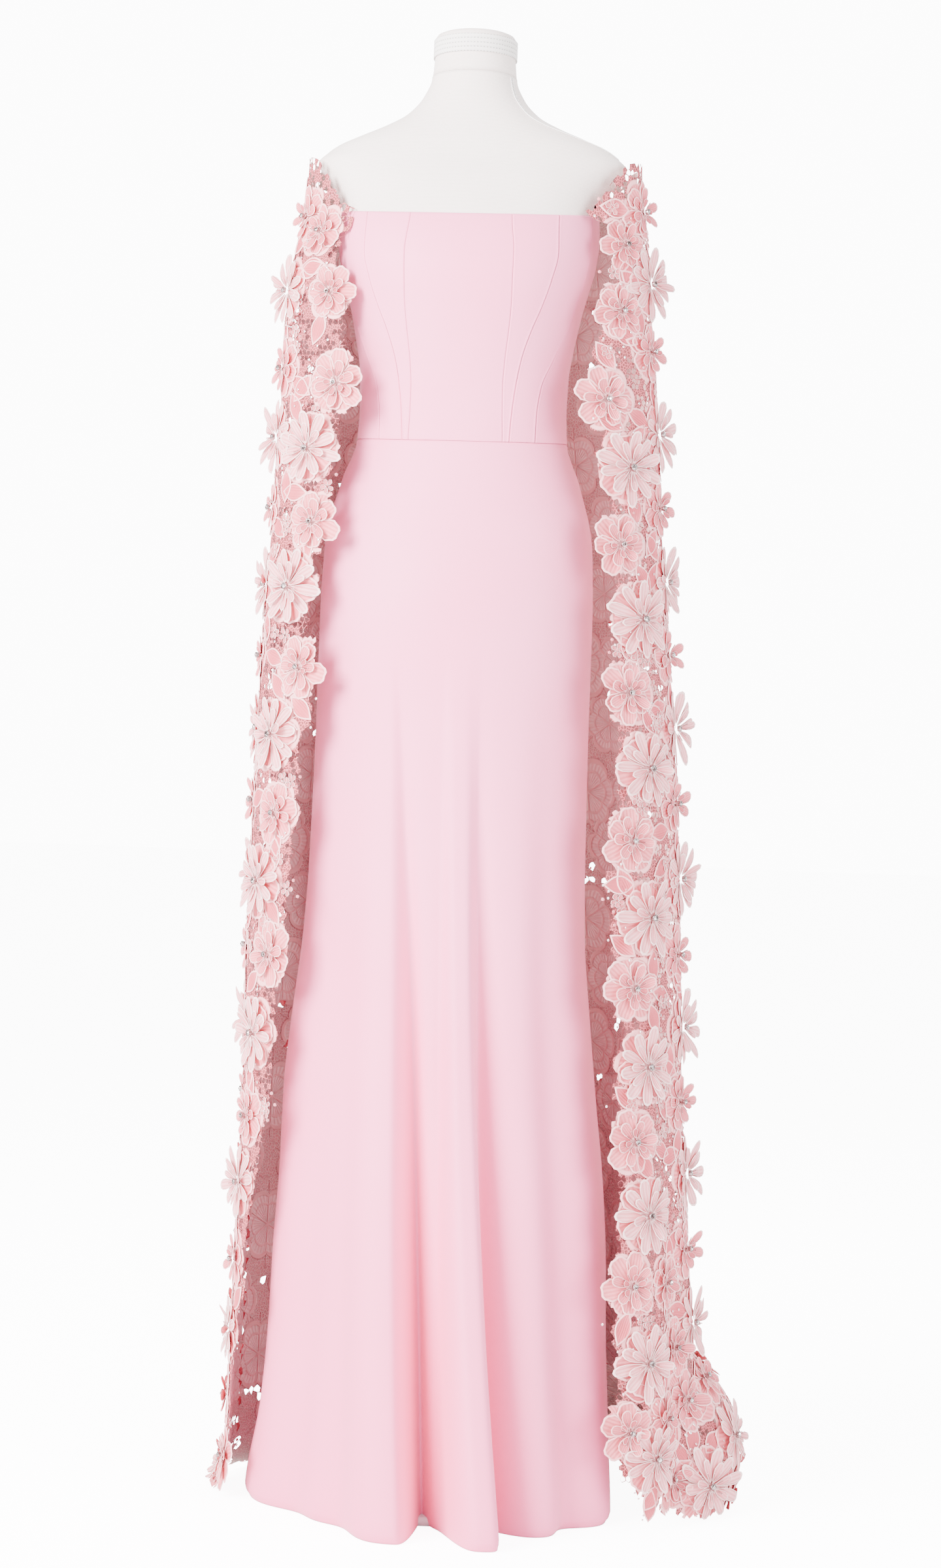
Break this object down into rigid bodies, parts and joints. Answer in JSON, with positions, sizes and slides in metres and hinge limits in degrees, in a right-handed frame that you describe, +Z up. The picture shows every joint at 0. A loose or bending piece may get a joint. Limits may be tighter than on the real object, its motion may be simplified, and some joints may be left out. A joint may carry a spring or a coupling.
{
  "type": "cape gown on dress form",
  "caption": "Off-shoulder column gown with a floor-length flowered lace cape, worn on a limbless dress form with a neck cap, pole and round base.",
  "frame": {"origin": "middle of the footprint, on the floor", "axes": "+Z up; the gown's front faces -Y; +X is the side on the right of the picture"},
  "size_m": [0.6196, 0.672, 1.69],
  "materials": {
    "crepe": "soft matt crepe with a faint sheen",
    "lace": "matt corded guipure lace with sequins and crystals",
    "form_cloth": "tight matt white jersey",
    "form_trim": "stitched white tape",
    "form_steel": "white painted steel"
  },
  "bodies": {
    "root": {"bodice_centre_front": "crepe", "bodice_front_right": "crepe", "bodice_front_left": "crepe", "bodice_side_front_right": "crepe", "bodice_side_front_left": "crepe", "bodice_side_right": "crepe", "bodice_side_left": "crepe", "bodice_back_right": "crepe", "bodice_back_left": "crepe", "skirt_front": "crepe", "skirt_back_right": "crepe", "skirt_back_left": "crepe", "lace_strap_left": "lace", "lace_strap_right": "lace", "cape_front_left": "lace", "cape_front_right": "lace", "cape_back_left": "lace", "cape_back_right": "lace", "form_body": "form_cloth", "form_neck_cap": "form_cloth", "form_neck_trim": "form_trim", "form_base": "form_steel", "form_pole": "form_steel"}
  },
  "joints": []
}
